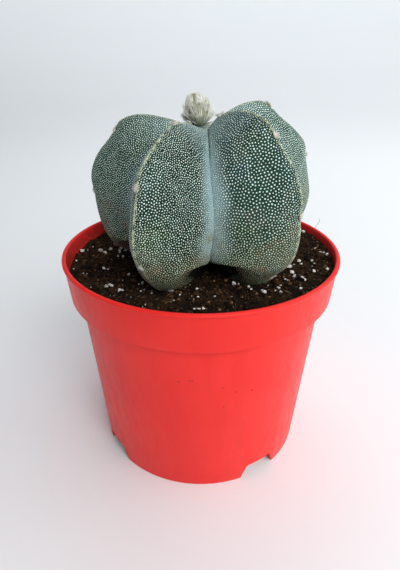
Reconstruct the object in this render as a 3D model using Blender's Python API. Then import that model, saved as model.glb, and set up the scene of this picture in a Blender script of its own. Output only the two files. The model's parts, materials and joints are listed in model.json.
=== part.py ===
"""A bishop's cap cactus in a round nursery pot.

Metres, +Z up. The origin is on the pot's axis, at the level of its foot ring. The front is -Y.
An azimuth is measured from the front, positive towards +X.
"""

import math
import random

import bmesh
import bpy
from mathutils import Matrix, Vector, noise

MM = 0.001

# The gap between pieces that touch
CLEARANCE = 0.3 * MM

# Pot
POT_HEIGHT = 96.0 * MM
RIM_RADIUS = 60.0 * MM
WALL = 1.3 * MM
EDGE = 0.4 * MM
LIP_HEIGHT = 1.6 * MM
LIP_GROOVE = 0.7 * MM
COLLAR_BOTTOM = 79.0 * MM
COLLAR_BOTTOM_RADIUS = 57.9 * MM
BODY_TOP_RADIUS = 54.0 * MM
FOOT_RADIUS = 47.5 * MM
PLATE_UNDERSIDE = 7.8 * MM
PLATE_THICKNESS = 1.4 * MM
PLATE_TOP = PLATE_UNDERSIDE + PLATE_THICKNESS
LEDGE = COLLAR_BOTTOM + WALL
NOTCH_COUNT = 4
FIRST_NOTCH = math.radians(33.8)
NOTCH_HEIGHT = 7.2 * MM
NOTCH_FOOT_ANGLE = math.radians(22.4)
NOTCH_TOP_ANGLE = math.radians(16.0)
NOTCH_REACH = 6.0 * MM
NOTCH_BELOW = 2.0 * MM
DRAIN_RADIUS = 4.0 * MM
DRAIN_CIRCLE = 30.0 * MM
DRAIN_SEGMENTS = 16
POT_SEGMENTS = 72

# Potting mix
MIX_LEVEL = 91.0 * MM
MIX_RISE_RIGHT = 0.030
MIX_RISE_BACK = 0.012
MIX_LUMP = 0.9 * MM
LUMP_SPAN = 5.5 * MM
CRUMB_SPAN = 2.6 * MM
CRUMB_SHARE = 0.6
MIX_SEGMENTS = 56
MIX_RING_STEP = 4.8 * MM
MIX_CORNER = 0.8 * MM
PERLITE_COUNT = 34
PERLITE_RADIUS = (1.1 * MM, 2.1 * MM)
PERLITE_NEAREST = 30.0 * MM
PERLITE_REACH = 54.5 * MM
PERLITE_SEED = 12
GOLDEN_ANGLE = math.pi * (3.0 - math.sqrt(5.0))

# Plant
PLANT_AXIS = Vector((2.4 * MM, -4.0 * MM, 0.0))
PLANT_CLEAR_RADIUS = 38.0 * MM
RIB_AZIMUTHS = [math.radians(a) for a in (-102.0, -30.0, 42.0, 113.0, 186.0)]
# Each ridge runs through the crown, its own shoulder, the lower flank that all five share and the
# root: (radius, height) points about the plant's axis, in millimetres
CROWN = [(0, 146)]
SHOULDERS = [
    [(7, 147), (15, 149.6), (26, 151), (35, 148), (41.4, 141), (46.8, 133), (50, 120)],
    [(6.5, 147.8), (14.5, 150.6), (25, 151.4), (33.5, 147.4), (41, 141.6), (47.2, 134), (49.6, 120)],
    [(5, 151), (13, 154), (21, 154.8), (30, 152), (38.4, 144.4), (44.2, 135.6), (48.4, 120)],
    [(6, 151), (15, 155.2), (25, 155), (32.6, 149.2), (40.4, 142.2), (46.4, 134.4), (49.4, 120)],
    [(7, 145.6), (15, 146.8), (25, 145.6), (33, 142.2), (40, 136.6), (46, 129.4), (49.4, 119)]]
LOWER_FLANK = [(48.6, 109), (43.8, 100), (36, 92.6)]
ROOT = [(25, 87.5), (13, 83), (9.5, 76), (6, 69.5), (0, 68)]
# How much further in each rib is tucked than the lower flank says, at its three points
FOOT_TUCK = [(0.0, 0.0, 0.0), (0.2, 0.4, 0.4), (2.2, 3.4, 1.4), (0.0, 0.0, 0.0), (0.0, 0.0, 0.0)]
# The valley between two ribs, point by point beside the ridge
VALLEY = [
    (0, 146), (5.5, 145.6), (12, 143), (19, 138.2), (24.5, 131.4), (27.6, 123.4), (28.8, 115.5),
    (28.8, 109), (28.2, 104.6), (25, 101.2), (18.6, 99.6), (13.2, 95.6), (11.2, 87), (9.3, 77.5),
    (6, 70.5), (0, 68)]
LAST_POINT = len(VALLEY) - 1
GROUND_POINT = 11
# How far a valley rises with the ridges beside it
VALLEY_FOLLOWS = 0.6
# The valley at the front leans to the left of the middle between its ribs, least halfway down
FRONT_RIBS = (1, 2)
FRONT_LEAN = math.radians(4.0)
FRONT_STRAIGHTENING = math.radians(2.8)
FRONT_STRAIGHTEST = 5.7
# A flank is nearly flat and swells a little between its ridge and its valley, more at the foot.
# Beside the ridge's own foot its underside arches up to the valley.
FLANK_BULGE = 2.4 * MM
FOOT_BULGE = 4.2 * MM
FULL_FLANK = 26.0 * MM
FOOT_ARCH = 4.0 * MM
# Mesh columns from a ridge to the valley beside it, as shares of the flank, and mesh rings
FLANK_STEPS = (0.0, 0.07, 0.24, 0.5, 0.76, 0.94)
RINGS = 32
GROUND_RING = 27
# Areoles: distances along each ridge from the crown, and the swelling of the ridge between them
AREOLE_PITCH = 29.4 * MM
FIRST_AREOLE = [40.5 * MM, 24.5 * MM, 9.5 * MM, 30.0 * MM, 24.0 * MM]
AREOLE_COUNT = [2, 3, 4, 3, 3]
AREOLE_RADIUS = 1.5 * MM
SCALLOP = 1.1 * MM
LENGTH_STEPS = 400

# Flower bud
BUD_SEAT = Vector((-2.8 * MM, 1.2 * MM, 147.0 * MM))
BUD_HEIGHT = 13.2 * MM
BUD_CORE_HEIGHT = 12.3 * MM
BUD_RADIUS = 4.9 * MM
BUD_LEAN = math.radians(-11.0)
BUD_SEGMENTS = 14
BUD_RINGS = 8
SCALE_ROWS = (9, 9, 9, 9, 7, 5)
SCALE_ROW_RANGE = (0.08, 0.80)
SCALE_LENGTH = 4.4 * MM
SCALE_WIDTH = 2.2 * MM
SCALE_THICKNESS = 1.1 * MM


def clear_scene():
    for old in list(bpy.data.objects):
        bpy.data.objects.remove(old, do_unlink=True)


def material(name, colour, roughness):
    mat = bpy.data.materials.new(name)
    mat.use_nodes = True
    shader = mat.node_tree.nodes["Principled BSDF"]
    shader.inputs["Base Color"].default_value = (*colour, 1.0)
    shader.inputs["Roughness"].default_value = roughness
    shader.inputs["Metallic"].default_value = 0.0
    return mat


def add_object(name, bm, mat, collection=None):
    """Turns a bmesh into an object with one material, in the scene or in a collection of loose pieces."""
    bmesh.ops.recalc_face_normals(bm, faces=bm.faces)
    mesh = bpy.data.meshes.new(name)
    bm.to_mesh(mesh)
    bm.free()
    mesh.materials.append(mat)
    obj = bpy.data.objects.new(name, mesh)
    (collection or bpy.context.scene.collection).objects.link(obj)
    return obj


def loose_pieces(name):
    """A collection for repeats that one Boolean joins to a piece or cuts from it."""
    pieces = bpy.data.collections.new(name)
    bpy.context.scene.collection.children.link(pieces)
    return pieces


def apply_boolean(obj, operation, pieces):
    """Joins a collection's pieces to an object, or cuts them from it, and removes the pieces."""
    modifier = obj.modifiers.new("join", "BOOLEAN")
    modifier.operation = operation
    modifier.solver = "EXACT"
    modifier.operand_type = "COLLECTION"
    modifier.collection = pieces
    graph = bpy.context.evaluated_depsgraph_get()
    result = bpy.data.meshes.new_from_object(obj.evaluated_get(graph))
    obj.modifiers.clear()
    obj.data = result
    for piece in list(pieces.objects):
        bpy.data.objects.remove(piece, do_unlink=True)
    bpy.data.collections.remove(pieces)


def shade(obj):
    obj.data.shade_smooth()
    obj.data.set_sharp_from_angle(angle=math.radians(35.0))


def outward(azimuth):
    """The level direction at an azimuth from the front."""
    return Vector((math.sin(azimuth), -math.cos(azimuth), 0.0))


def ease(x):
    x = min(1.0, max(0.0, x))
    return x * x * (3.0 - 2.0 * x)


def turned(outline, segments):
    """A closed solid turned about +Z from an outline of (radius, height) points in their order.

    The outline meets the axis at two neighbouring points, or at its first and last.
    """
    bm = bmesh.new()
    points = [bm.verts.new((r, 0.0, z)) for r, z in outline]
    edges = [bm.edges.new(pair) for pair in zip(points, points[1:] + points[:1])
             if pair[0].co.x > 0.0 or pair[1].co.x > 0.0]
    bmesh.ops.spin(bm, geom=points + edges, cent=(0, 0, 0), axis=(0, 0, 1), angle=math.tau,
                   steps=segments, use_merge=True)
    bmesh.ops.remove_doubles(bm, verts=bm.verts, dist=0.01 * MM)
    return bm


def body_radius(height):
    """The outside of the pot's tapered body, from the foot to the collar."""
    return FOOT_RADIUS + (BODY_TOP_RADIUS - FOOT_RADIUS) * height / COLLAR_BOTTOM


def collar_radius(height):
    """The outside of the collar, from its lower edge to the groove under the lip."""
    groove_height = POT_HEIGHT - LIP_HEIGHT
    groove_radius = RIM_RADIUS - LIP_GROOVE
    share = (height - COLLAR_BOTTOM) / (groove_height - COLLAR_BOTTOM)
    return COLLAR_BOTTOM_RADIUS + (groove_radius - COLLAR_BOTTOM_RADIUS) * share


def pot_outline():
    """Down the outside, in under the foot, across the raised base plate and up the inside."""
    lip_bottom = POT_HEIGHT - LIP_HEIGHT
    lip = [
        (RIM_RADIUS - 2.6 * EDGE, POT_HEIGHT),
        (RIM_RADIUS - 0.8 * EDGE, POT_HEIGHT - 0.6 * EDGE),
        (RIM_RADIUS, POT_HEIGHT - 0.5 * LIP_HEIGHT),
        (RIM_RADIUS - 0.6 * EDGE, lip_bottom + 0.4 * EDGE),
        (collar_radius(lip_bottom), lip_bottom - 0.8 * EDGE)]
    outside = [
        (COLLAR_BOTTOM_RADIUS, COLLAR_BOTTOM + EDGE),
        (COLLAR_BOTTOM_RADIUS - EDGE, COLLAR_BOTTOM),
        (BODY_TOP_RADIUS + EDGE, COLLAR_BOTTOM),
        (BODY_TOP_RADIUS, COLLAR_BOTTOM - EDGE),
        (FOOT_RADIUS, 0.0)]
    underneath = [
        (FOOT_RADIUS - WALL, 0.0),
        (body_radius(PLATE_UNDERSIDE) - WALL, PLATE_UNDERSIDE),
        (0.0, PLATE_UNDERSIDE)]
    inside = [
        (0.0, PLATE_TOP),
        (body_radius(PLATE_TOP) - WALL - 2.0 * EDGE, PLATE_TOP),
        (body_radius(PLATE_TOP) - WALL, PLATE_TOP + 2.0 * EDGE),
        (body_radius(LEDGE) - WALL, LEDGE - EDGE),
        (body_radius(LEDGE) - WALL + EDGE, LEDGE),
        (collar_radius(LEDGE) - WALL - EDGE, LEDGE),
        (collar_radius(LEDGE) - WALL, LEDGE + EDGE),
        (collar_radius(lip_bottom) - WALL, lip_bottom),
        (RIM_RADIUS - WALL - 1.5 * EDGE, POT_HEIGHT - 0.8 * EDGE)]
    return lip + outside + underneath + inside


def make_pot():
    plastic = material("red_plastic", (0.80, 0.035, 0.02), 0.42)
    pot = add_object("pot", turned(pot_outline(), POT_SEGMENTS), plastic)
    cutters = loose_pieces("pot_cutters")
    add_object("drain", drain_cutter(Vector()), plastic, cutters)
    for i in range(NOTCH_COUNT):
        azimuth = FIRST_NOTCH + i * math.tau / NOTCH_COUNT
        add_object("notch", notch_cutter(azimuth), plastic, cutters)
        add_object("drain", drain_cutter(DRAIN_CIRCLE * outward(azimuth)), plastic, cutters)
    apply_boolean(pot, "DIFFERENCE", cutters)
    shade(pot)


def notch_cutter(azimuth):
    """A wedge through the foot ring, narrower at its top, that stops under the base plate."""
    bm = bmesh.new()
    bmesh.ops.create_cube(bm, size=2.0)
    for v in bm.verts:
        height = -NOTCH_BELOW if v.co.z < 0.0 else NOTCH_HEIGHT
        width = NOTCH_FOOT_ANGLE + (NOTCH_TOP_ANGLE - NOTCH_FOOT_ANGLE) * height / NOTCH_HEIGHT
        radius = FOOT_RADIUS + math.copysign(NOTCH_REACH, v.co.x)
        v.co = (radius, math.copysign(radius * math.tan(0.5 * width), v.co.y), height)
    bmesh.ops.rotate(bm, matrix=Matrix.Rotation(azimuth - 0.5 * math.pi, 3, "Z"), verts=bm.verts)
    return bm


def drain_cutter(place):
    bm = bmesh.new()
    bmesh.ops.create_cone(bm, cap_ends=True, segments=DRAIN_SEGMENTS, radius1=DRAIN_RADIUS,
                          radius2=DRAIN_RADIUS, depth=3.0 * PLATE_THICKNESS)
    middle = Vector((0.0, 0.0, 0.5 * (PLATE_UNDERSIDE + PLATE_TOP)))
    bmesh.ops.translate(bm, vec=place + middle, verts=bm.verts)
    return bm


def smooth_curve(points, position):
    """A Catmull-Rom curve through (radius, height) points, read at a position counted in points."""
    last = len(points) - 1
    i = min(int(position), last - 1)
    t = position - i
    p1, p2 = Vector(points[i]), Vector(points[i + 1])
    p0 = Vector(points[i - 1]) if i > 0 else 2.0 * p1 - p2
    p3 = Vector(points[i + 2]) if i + 2 <= last else 2.0 * p2 - p1
    slope = p2 - p0
    curve = 2.0 * p0 - 5.0 * p1 + 4.0 * p2 - p3
    twist = 3.0 * p1 - p0 - 3.0 * p2 + p3
    return p1 + 0.5 * (slope * t + curve * t * t + twist * t * t * t)


def whole_ridge(rib):
    lower = [(r - tuck, z) for (r, z), tuck in zip(LOWER_FLANK, FOOT_TUCK[rib])]
    return CROWN + SHOULDERS[rib] + lower + ROOT


RIDGES = [whole_ridge(rib) for rib in range(len(RIB_AZIMUTHS))]
MEAN_RIDGE = [tuple(sum(values) / len(RIDGES) for values in zip(*points)) for points in zip(*RIDGES)]


def ridge_point(rib, position):
    """A rib's ridge, before its scallops, at a position counted in points from the crown."""
    return MM * smooth_curve(RIDGES[rib], position)


def ridge_lengths(rib):
    """Distance along a ridge from the crown, for even steps of position."""
    lengths, travelled, before = [0.0], 0.0, ridge_point(rib, 0.0)
    for i in range(1, LENGTH_STEPS + 1):
        here = ridge_point(rib, LAST_POINT * i / LENGTH_STEPS)
        travelled += (here - before).length
        lengths.append(travelled)
        before = here
    return lengths


RIDGE_LENGTHS = [ridge_lengths(rib) for rib in range(len(RIB_AZIMUTHS))]


def length_at(rib, position):
    table = RIDGE_LENGTHS[rib]
    at = position / LAST_POINT * LENGTH_STEPS
    i = min(int(at), LENGTH_STEPS - 1)
    return table[i] + (table[i + 1] - table[i]) * (at - i)


def position_at(rib, length):
    table = RIDGE_LENGTHS[rib]
    i = next(k for k, travelled in enumerate(table) if travelled >= length)
    share = (length - table[i - 1]) / (table[i] - table[i - 1])
    return (i - 1 + share) / LENGTH_STEPS * LAST_POINT


def scallop(rib, position):
    """The ridge swells towards each areole and steps in just below it."""
    phase = (length_at(rib, position) - FIRST_AREOLE[rib]) / AREOLE_PITCH
    phase -= math.floor(phase)
    above_ground = ease(position / 2.0) * ease(GROUND_POINT - position)
    return SCALLOP * (1.7 * math.sin(math.pi * phase * phase) - 0.6) * above_ground


def rib_valley(rib, side, position):
    """The valley on one side of a rib: its azimuth, and its point at a position from the crown."""
    neighbour = (rib + side) % len(RIB_AZIMUTHS)
    turn = math.remainder(RIB_AZIMUTHS[neighbour] - RIB_AZIMUTHS[rib], math.tau)
    point = MM * smooth_curve(VALLEY, position)
    beside = 0.5 * (ridge_point(rib, position).y + ridge_point(neighbour, position).y)
    point.y += VALLEY_FOLLOWS * (beside - MM * smooth_curve(MEAN_RIDGE, position).y)
    lean = 0.0
    if rib in FRONT_RIBS and neighbour in FRONT_RIBS:
        off_middle = (position - FRONT_STRAIGHTEST) / 1.5
        lean = FRONT_LEAN - FRONT_STRAIGHTENING * math.exp(-off_middle * off_middle)
    return RIB_AZIMUTHS[rib] + 0.5 * turn - lean, point


def grown(radius, grow):
    """A radius made larger by the whole of grow, or by less near the axis."""
    return max(0.0, radius + grow * min(1.0, radius / (3.0 * MM)))


def cactus_point(rib, side, across, position, grow=0.0):
    """A point of the plant's skin, from a rib's ridge (across 0) to the valley beside it (1)."""
    ridge = ridge_point(rib, position)
    azimuth, valley = rib_valley(rib, side, position)
    ridge_radius = grown(ridge.x + scallop(rib, position), grow)
    top = ridge_radius * outward(RIB_AZIMUTHS[rib]) + Vector((0.0, 0.0, ridge.y))
    crease = grown(valley.x, grow) * outward(azimuth) + Vector((0.0, 0.0, valley.y))
    chord = crease - top
    inward = side * Vector((0.0, 0.0, 1.0)).cross(chord)
    foot = ease((position - 7.6) / 2.2) * ease((12.6 - position) / 1.6)
    depth = (FLANK_BULGE + FOOT_BULGE * foot) * min(1.0, chord.length / FULL_FLANK)
    middle = max(0.0, math.sin(math.pi * across))
    bulge = depth * middle ** 0.7 + grow * middle ** 0.5
    under = ease((position - 8.3) / 1.5) * ease((13.0 - position) / 1.5)
    beside_foot = ease((across - 0.15) / 0.4) * (1.0 - 0.75 * ease((across - 0.7) / 0.3))
    lift = Vector((0.0, 0.0, FOOT_ARCH * under * beside_foot))
    return PLANT_AXIS + top + across * chord - bulge * inward.normalized() + lift


def skin_columns():
    """The mesh's columns, rib after rib: the valley before it, its flank, its ridge and its next flank."""
    columns = []
    for rib in range(len(RIB_AZIMUTHS)):
        columns += [(rib, -1, step) for step in (1.0, *reversed(FLANK_STEPS[1:]))]
        columns += [(rib, 1, step) for step in FLANK_STEPS]
    return columns


def ring_position(ring):
    """Rings lie close above the ground and further apart on the root."""
    if ring <= GROUND_RING:
        return GROUND_POINT * ring / GROUND_RING
    return GROUND_POINT + (LAST_POINT - GROUND_POINT) * (ring - GROUND_RING) / (RINGS - GROUND_RING)


def cactus_skin(grow=0.0):
    """A UV sphere whose columns and rings are moved onto the ridges, flanks and valleys.

    A grown skin is wider all round and lies as much lower, to clear the plant's sides and underside.
    """
    columns = skin_columns()
    bm = bmesh.new()
    bmesh.ops.create_uvsphere(bm, u_segments=len(columns), v_segments=RINGS, radius=1.0)
    for v in bm.verts:
        ring = round(math.acos(max(-1.0, min(1.0, v.co.z))) / math.pi * RINGS)
        column = round(math.atan2(v.co.y, v.co.x) / math.tau * len(columns)) % len(columns)
        v.co = cactus_point(*columns[column], ring_position(ring), grow)
        v.co.z -= grow
    return bm


def areole(place, facing):
    """A low woolly tuft, sunk to its middle in the ridge."""
    bm = bmesh.new()
    bmesh.ops.create_icosphere(bm, subdivisions=1, radius=AREOLE_RADIUS)
    bmesh.ops.scale(bm, vec=(1.0, 1.0, 0.8), verts=bm.verts)
    turn = facing.to_track_quat("Z", "Y").to_matrix()
    bmesh.ops.rotate(bm, matrix=turn, verts=bm.verts)
    bmesh.ops.translate(bm, vec=place, verts=bm.verts)
    return bm


def make_cactus():
    """The ribbed body with its root, and a tuft at each areole along the ridges."""
    skin = material("flecked_skin", (0.16, 0.24, 0.18), 0.65)
    cactus = add_object("cactus", cactus_skin(), skin)
    tufts = loose_pieces("areoles")
    for rib, azimuth in enumerate(RIB_AZIMUTHS):
        across = Vector((0.0, 0.0, 1.0)).cross(outward(azimuth))
        for i in range(AREOLE_COUNT[rib]):
            position = position_at(rib, FIRST_AREOLE[rib] + i * AREOLE_PITCH)
            above = cactus_point(rib, 1, 0.0, position - 0.1)
            below = cactus_point(rib, 1, 0.0, position + 0.1)
            facing = (below - above).cross(across).normalized()
            add_object("areole", areole(0.5 * (above + below), facing), skin, tufts)
    apply_boolean(cactus, "UNION", tufts)
    shade(cactus)


def mix_height(x, y):
    """The surface of the potting mix: higher at the back right, lower at the back left, crumbly."""
    lumps = noise.noise(Vector((x, y, 0.0)) / LUMP_SPAN)
    crumbs = CRUMB_SHARE * noise.noise(Vector((x, y, LUMP_SPAN)) / CRUMB_SPAN)
    return MIX_LEVEL + MIX_RISE_RIGHT * x + MIX_RISE_BACK * y + MIX_LUMP * (lumps + crumbs)


def mix_outline():
    """Up the inside of the pot with a running gap, then in over the surface in even rings."""
    gap = WALL + CLEARANCE
    edge = collar_radius(MIX_LEVEL) - gap - 0.5 * MIX_CORNER
    rings = round(edge / MIX_RING_STEP)
    side = [
        (0.0, PLATE_TOP + CLEARANCE),
        (body_radius(PLATE_TOP) - gap - MIX_CORNER, PLATE_TOP + CLEARANCE),
        (body_radius(PLATE_TOP) - gap, PLATE_TOP + 2.0 * MIX_CORNER),
        (body_radius(LEDGE) - gap, LEDGE - MIX_CORNER),
        (body_radius(LEDGE) - gap + MIX_CORNER, LEDGE + 2.0 * CLEARANCE),
        (collar_radius(LEDGE) - gap - 0.5 * MIX_CORNER, LEDGE + MIX_CORNER),
        (edge, MIX_LEVEL - MIX_RISE_RIGHT * edge - 2.0 * MIX_LUMP)]
    return side + [(edge * (rings - i) / rings, MIX_LEVEL) for i in range(rings + 1)]


def perlite_grain(draw, centre, radius):
    """A blocky lump of expanded glass, sunk nearly to its middle in the mix."""
    bm = bmesh.new()
    bmesh.ops.create_icosphere(bm, subdivisions=1, radius=radius)
    stretch = (1.0, draw.uniform(0.7, 1.0), draw.uniform(0.6, 0.85))
    bmesh.ops.scale(bm, vec=stretch, verts=bm.verts)
    turn = Matrix.Rotation(draw.uniform(0.0, math.tau), 3, "Z")
    bmesh.ops.rotate(bm, matrix=turn, verts=bm.verts)
    seat = Vector((centre.x, centre.y, mix_height(centre.x, centre.y) + 0.1 * radius))
    bmesh.ops.translate(bm, vec=seat, verts=bm.verts)
    return bm


def make_soil():
    """A plug that fills the pot, with a crumbly top, perlite lumps and a hole for the plant."""
    mix = material("potting_mix", (0.035, 0.022, 0.015), 0.95)
    bm = turned(mix_outline(), MIX_SEGMENTS)
    for v in bm.verts:
        if abs(v.co.z - MIX_LEVEL) < 0.01 * MM:
            v.co.z = mix_height(v.co.x, v.co.y)
    soil = add_object("soil", bm, mix)

    grains = loose_pieces("perlite")
    draw = random.Random(PERLITE_SEED)
    nearest = (PERLITE_NEAREST / PERLITE_REACH) ** 2
    azimuth = 0.0
    while len(grains.objects) < PERLITE_COUNT:
        azimuth += GOLDEN_ANGLE
        centre = PERLITE_REACH * math.sqrt(draw.uniform(nearest, 1.0)) * outward(azimuth)
        radius = draw.uniform(*PERLITE_RADIUS)
        if (centre - PLANT_AXIS).length > PLANT_CLEAR_RADIUS + radius:
            add_object("grain", perlite_grain(draw, centre, radius), mix, grains)
    apply_boolean(soil, "UNION", grains)

    hole = loose_pieces("hole")
    add_object("plant_hole", cactus_skin(CLEARANCE), mix, hole)
    apply_boolean(soil, "DIFFERENCE", hole)
    shade(soil)


def bud_radius(share):
    """The bud's core, a stout egg: its radius at a share of its height."""
    return BUD_RADIUS * math.sin(math.pi * min(1.0, max(0.0, share)) ** 0.8) ** 0.6


def bud_scale(azimuth, share):
    """A thin pointed scale that lies up the core, its root sunk in and its tip just off it."""
    bm = bmesh.new()
    bmesh.ops.create_cone(bm, cap_ends=True, segments=4, radius1=math.sqrt(0.5), radius2=0.0, depth=1.0)
    bmesh.ops.rotate(bm, matrix=Matrix.Rotation(0.25 * math.pi, 3, "Z"), verts=bm.verts)
    bmesh.ops.translate(bm, vec=(0.0, 0.0, 0.5), verts=bm.verts)
    bmesh.ops.scale(bm, vec=(SCALE_THICKNESS, SCALE_WIDTH, SCALE_LENGTH), verts=bm.verts)
    rise = bud_radius(share + SCALE_LENGTH / BUD_HEIGHT) - bud_radius(share)
    tilt = Matrix.Rotation(math.atan2(0.8 * rise, SCALE_LENGTH), 4, "Y")
    root = Matrix.Translation((bud_radius(share) - 0.2 * SCALE_THICKNESS, 0.0, share * BUD_CORE_HEIGHT))
    bmesh.ops.transform(bm, matrix=Matrix.Rotation(azimuth, 4, "Z") @ root @ tilt, verts=bm.verts)
    return bm


def make_flower_bud():
    """An egg-shaped core in rows of overlapping pointed scales, leaning a little to the left."""
    wool = material("bud_scales", (0.62, 0.60, 0.52), 0.9)
    bm = bmesh.new()
    bmesh.ops.create_uvsphere(bm, u_segments=BUD_SEGMENTS, v_segments=BUD_RINGS, radius=1.0)
    for v in bm.verts:
        share = 1.0 - math.acos(max(-1.0, min(1.0, v.co.z))) / math.pi
        around = math.hypot(v.co.x, v.co.y)
        widen = bud_radius(share) / around if around > 0.01 else 0.0
        v.co = (widen * v.co.x, widen * v.co.y, share * BUD_CORE_HEIGHT)
    bud = add_object("flower_bud", bm, wool)

    scales = loose_pieces("scales")
    first, last = SCALE_ROW_RANGE
    for row, count in enumerate(SCALE_ROWS):
        share = first + (last - first) * row / (len(SCALE_ROWS) - 1)
        for i in range(count):
            azimuth = math.tau * (i + 0.5 * (row % 2)) / count
            add_object("scale", bud_scale(azimuth, share), wool, scales)
    apply_boolean(bud, "UNION", scales)
    seat = Matrix.Translation(PLANT_AXIS + BUD_SEAT)
    bud.data.transform(seat @ Matrix.Rotation(BUD_LEAN, 4, "Y"))
    shade(bud)


clear_scene()
make_pot()
make_cactus()
make_soil()
make_flower_bud()
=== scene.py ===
import math
import random

import bmesh
import bpy
from mathutils import Matrix, Vector, kdtree, noise
from mathutils.bvhtree import BVHTree
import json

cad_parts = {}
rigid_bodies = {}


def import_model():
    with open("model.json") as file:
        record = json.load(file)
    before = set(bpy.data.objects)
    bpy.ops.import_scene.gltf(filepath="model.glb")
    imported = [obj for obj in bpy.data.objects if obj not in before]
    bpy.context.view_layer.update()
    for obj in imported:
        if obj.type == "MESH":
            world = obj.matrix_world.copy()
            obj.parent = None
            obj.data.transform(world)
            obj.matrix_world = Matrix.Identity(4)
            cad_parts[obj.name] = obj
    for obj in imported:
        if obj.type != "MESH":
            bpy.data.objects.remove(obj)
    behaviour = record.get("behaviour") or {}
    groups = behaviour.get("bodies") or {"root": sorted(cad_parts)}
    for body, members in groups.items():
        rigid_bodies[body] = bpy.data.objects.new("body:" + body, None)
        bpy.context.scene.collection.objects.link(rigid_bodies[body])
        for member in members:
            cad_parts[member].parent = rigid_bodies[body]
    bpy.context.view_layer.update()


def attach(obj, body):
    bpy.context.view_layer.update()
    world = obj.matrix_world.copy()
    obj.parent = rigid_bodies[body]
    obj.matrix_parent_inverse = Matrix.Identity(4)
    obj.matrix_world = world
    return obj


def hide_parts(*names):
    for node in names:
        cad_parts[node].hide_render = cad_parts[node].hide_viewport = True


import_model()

# The table, the light and the camera: a white sweep that curves up all round, two windows at the
# right, soft boxes at the front, above and on the wall behind. None of it is the object.
MM = 0.001


def turned(outline, segments):
    """A skin turned about +Z from (radius, height) points in their order."""
    bm = bmesh.new()
    points = [bm.verts.new((r, 0.0, z)) for r, z in outline]
    edges = [bm.edges.new(pair) for pair in zip(points, points[1:])
             if pair[0].co.x > 0.0 or pair[1].co.x > 0.0]
    bmesh.ops.spin(bm, geom=points + edges, cent=(0, 0, 0), axis=(0, 0, 1), angle=math.tau,
                   steps=segments, use_merge=True)
    bmesh.ops.remove_doubles(bm, verts=bm.verts, dist=0.001 * MM)
    bmesh.ops.recalc_face_normals(bm, faces=bm.faces)
    return bm


def finished(name, bm, mat, sharp_from=35.0):
    """Turns a bmesh into an object with one material, smooth but for its sharp edges."""
    mesh = bpy.data.meshes.new(name)
    bm.to_mesh(mesh)
    bm.free()
    mesh.materials.append(mat)
    mesh.shade_smooth()
    mesh.set_sharp_from_angle(angle=math.radians(sharp_from))
    piece = bpy.data.objects.new(name, mesh)
    bpy.context.scene.collection.objects.link(piece)
    return piece


def new_material(name, roughness):
    mat = bpy.data.materials.new(name)
    mat.use_nodes = True
    shader = mat.node_tree.nodes["Principled BSDF"]
    shader.inputs["Roughness"].default_value = roughness
    return mat, shader


def add_node(mat, kind, inputs, output=0, **settings):
    """Adds a node, sets its settings, sets or links its inputs by name or number, and gives an output."""
    made = mat.node_tree.nodes.new(kind)
    for setting, value in settings.items():
        setattr(made, setting, value)
    for socket, value in inputs.items():
        if isinstance(value, bpy.types.NodeSocket):
            mat.node_tree.links.new(value, made.inputs[socket])
        else:
            made.inputs[socket].default_value = value
    return made.outputs[output]


def mixed(mat, share, first, second, blend="MIX"):
    """One colour over another; a share, or either colour, is a value or a socket."""
    colours = [c if isinstance(c, bpy.types.NodeSocket) else (*c, 1.0) for c in (first, second)]
    return add_node(mat, "ShaderNodeMix", {0: share, 6: colours[0], 7: colours[1]}, 2,
                    data_type="RGBA", blend_type=blend)


def between(mat, value, low, high, to_low=0.0, to_high=1.0):
    """A smooth step from low to high."""
    return add_node(mat, "ShaderNodeMapRange", {"Value": value, "From Min": low, "From Max": high,
                                                "To Min": to_low, "To Max": to_high},
                    interpolation_type="SMOOTHSTEP")


def worked(mat, operation, first, second):
    return add_node(mat, "ShaderNodeMath", {0: first, 1: second}, operation=operation)


def own_place(mat, stretch=(1.0, 1.0, 1.0)):
    """Places on the piece itself, with a pattern drawn out along an axis by a smaller number."""
    place = add_node(mat, "ShaderNodeTexCoord", {}, "Object")
    return add_node(mat, "ShaderNodeMapping", {"Vector": place, "Scale": stretch})


def clouds(mat, span, detail=3.0, roughness=0.5, place=None):
    """Noise whose patches are about as wide as span."""
    return add_node(mat, "ShaderNodeTexNoise", {"Vector": place or own_place(mat), "Scale": 1.0 / span,
                                                "Detail": detail, "Roughness": roughness})


def bumped(mat, shader, height, depth):
    shader_normal = add_node(mat, "ShaderNodeBump", {"Height": height, "Distance": depth, "Strength": 1.0})
    mat.node_tree.links.new(shader_normal, shader.inputs["Normal"])


SWEEP_FLAT = 0.9
SWEEP_OUTLINE = [(0.0, 0.0), (SWEEP_FLAT, 0.0), (1.15, 0.02), (1.35, 0.08), (1.5, 0.19), (1.58, 0.34),
                 (1.6, 0.5)]
paper, paper_shader = new_material("sweep_paper", 0.9)
paper_shader.inputs["Base Color"].default_value = (0.84, 0.87, 0.89, 1.0)
paper_shader.inputs["Specular IOR Level"].default_value = 0.2
sweep = finished("sweep", turned(SWEEP_OUTLINE, 64), paper, 180.0)

sky = bpy.data.worlds.new("soft_room")
sky.use_nodes = True
sky.node_tree.nodes["Background"].inputs["Color"].default_value = (0.90, 0.95, 1.0, 1.0)
sky.node_tree.nodes["Background"].inputs["Strength"].default_value = 0.12
bpy.context.scene.world = sky


def soft_light(name, place, aim, width, power, colour):
    """A square lamp that the camera doesn't see."""
    lamp = bpy.data.lights.new(name, "AREA")
    lamp.shape = "SQUARE"
    lamp.size = width
    lamp.energy = power
    lamp.color = colour
    holder = bpy.data.objects.new(name, lamp)
    holder.location = place
    holder.rotation_euler = (Vector(aim) - Vector(place)).to_track_quat("-Z", "Y").to_euler()
    holder.visible_camera = False
    bpy.context.scene.collection.objects.link(holder)


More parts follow.
